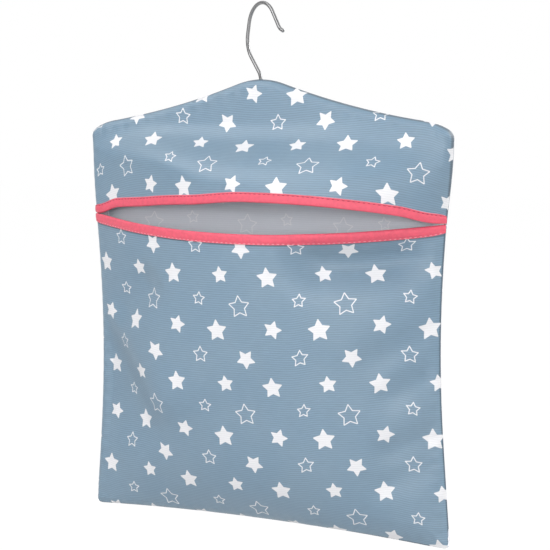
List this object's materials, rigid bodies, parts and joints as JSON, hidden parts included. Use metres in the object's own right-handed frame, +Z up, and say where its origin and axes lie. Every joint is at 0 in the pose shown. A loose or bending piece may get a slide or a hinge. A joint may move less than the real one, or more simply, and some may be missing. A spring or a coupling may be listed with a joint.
{
  "type": "peg bag",
  "caption": "Hanging cloth peg bag with a bound open mouth across the front, carried by a wooden hanger with a swivel hook.",
  "frame": {"origin": "seat of the hook, the underside of its crown, where the line or rail carries the bag, on the swivel's axis", "axes": "+Z up along the swivel's axis, +X to the right seen from the front, the mouth faces -Y"},
  "size_m": [0.355, 0.0751, 0.473],
  "materials": {
    "hook_steel": "bright plated wire",
    "hanger_wood": "sanded pale beech, clear lacquer",
    "printed_cloth": "ribbed grey-blue cloth with a white star print",
    "binding_tape": "pink woven bias tape",
    "seam_cloth": "overlocked seam allowance"
  },
  "bodies": {
    "hook": {"hook_wire": "hook_steel", "hook_washer": "hook_steel"},
    "bag": {"hanger_bar": "hanger_wood", "back_panel": "printed_cloth", "front_yoke": "printed_cloth", "front_pouch": "printed_cloth", "yoke_binding": "binding_tape", "pouch_binding": "binding_tape", "left_side_seam": "seam_cloth", "right_side_seam": "seam_cloth", "bottom_seam": "seam_cloth", "left_shoulder_seam": "seam_cloth", "right_shoulder_seam": "seam_cloth"}
  },
  "joints": [
    {"name": "hook_swivel", "type": "hinge", "parent": "hook", "child": "bag", "pos_m": [0, 0, 0], "axis": [0, 0, 1], "continuous": true}
  ]
}
